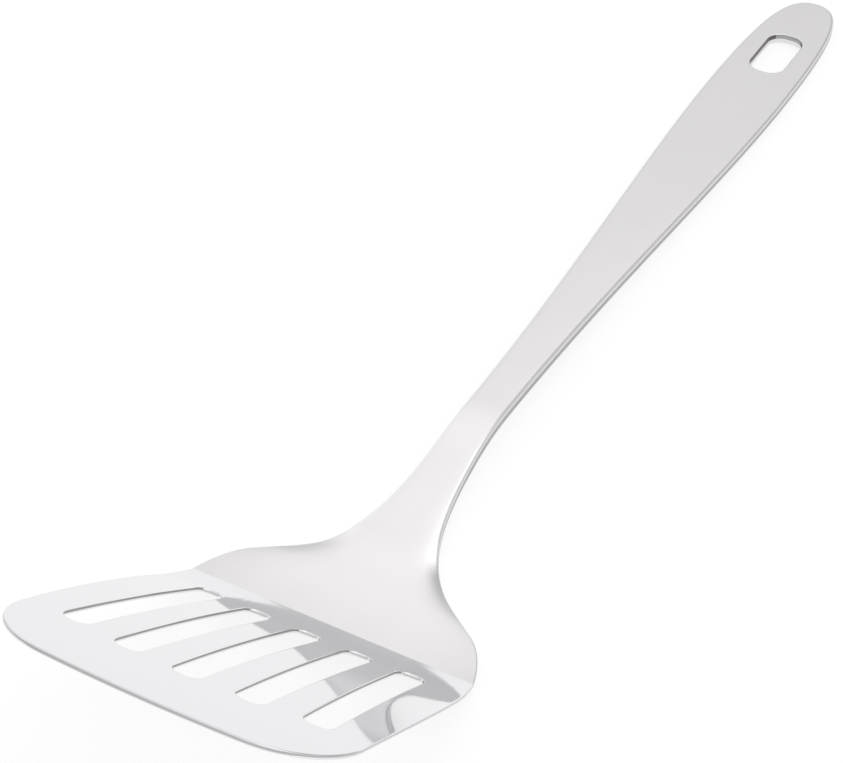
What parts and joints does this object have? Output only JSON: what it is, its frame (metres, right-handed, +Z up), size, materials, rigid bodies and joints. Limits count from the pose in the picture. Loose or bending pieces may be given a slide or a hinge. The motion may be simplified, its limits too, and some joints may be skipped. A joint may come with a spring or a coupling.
{
  "type": "slotted turner",
  "caption": "Slotted stainless-steel kitchen turner: a raised mirror-polished blade with fanned drain slots and a bent satin handle that widens to a rounded end with an oblong hanging hole.",
  "frame": {"origin": "on the table, under the middle of the turner's box, as it lies on its shoulder and on the end of its handle", "axes": "+X from the handle's end towards the blade's front edge, +Y to the left of someone looking along +X, +Z up from the table"},
  "size_m": [0.3488, 0.0776, 0.049],
  "materials": {
    "polished_steel": "mirror-polished stainless steel",
    "satin_steel": "fine satin stainless steel"
  },
  "bodies": {
    "root": {"blade": "polished_steel", "handle": "satin_steel"}
  },
  "joints": []
}
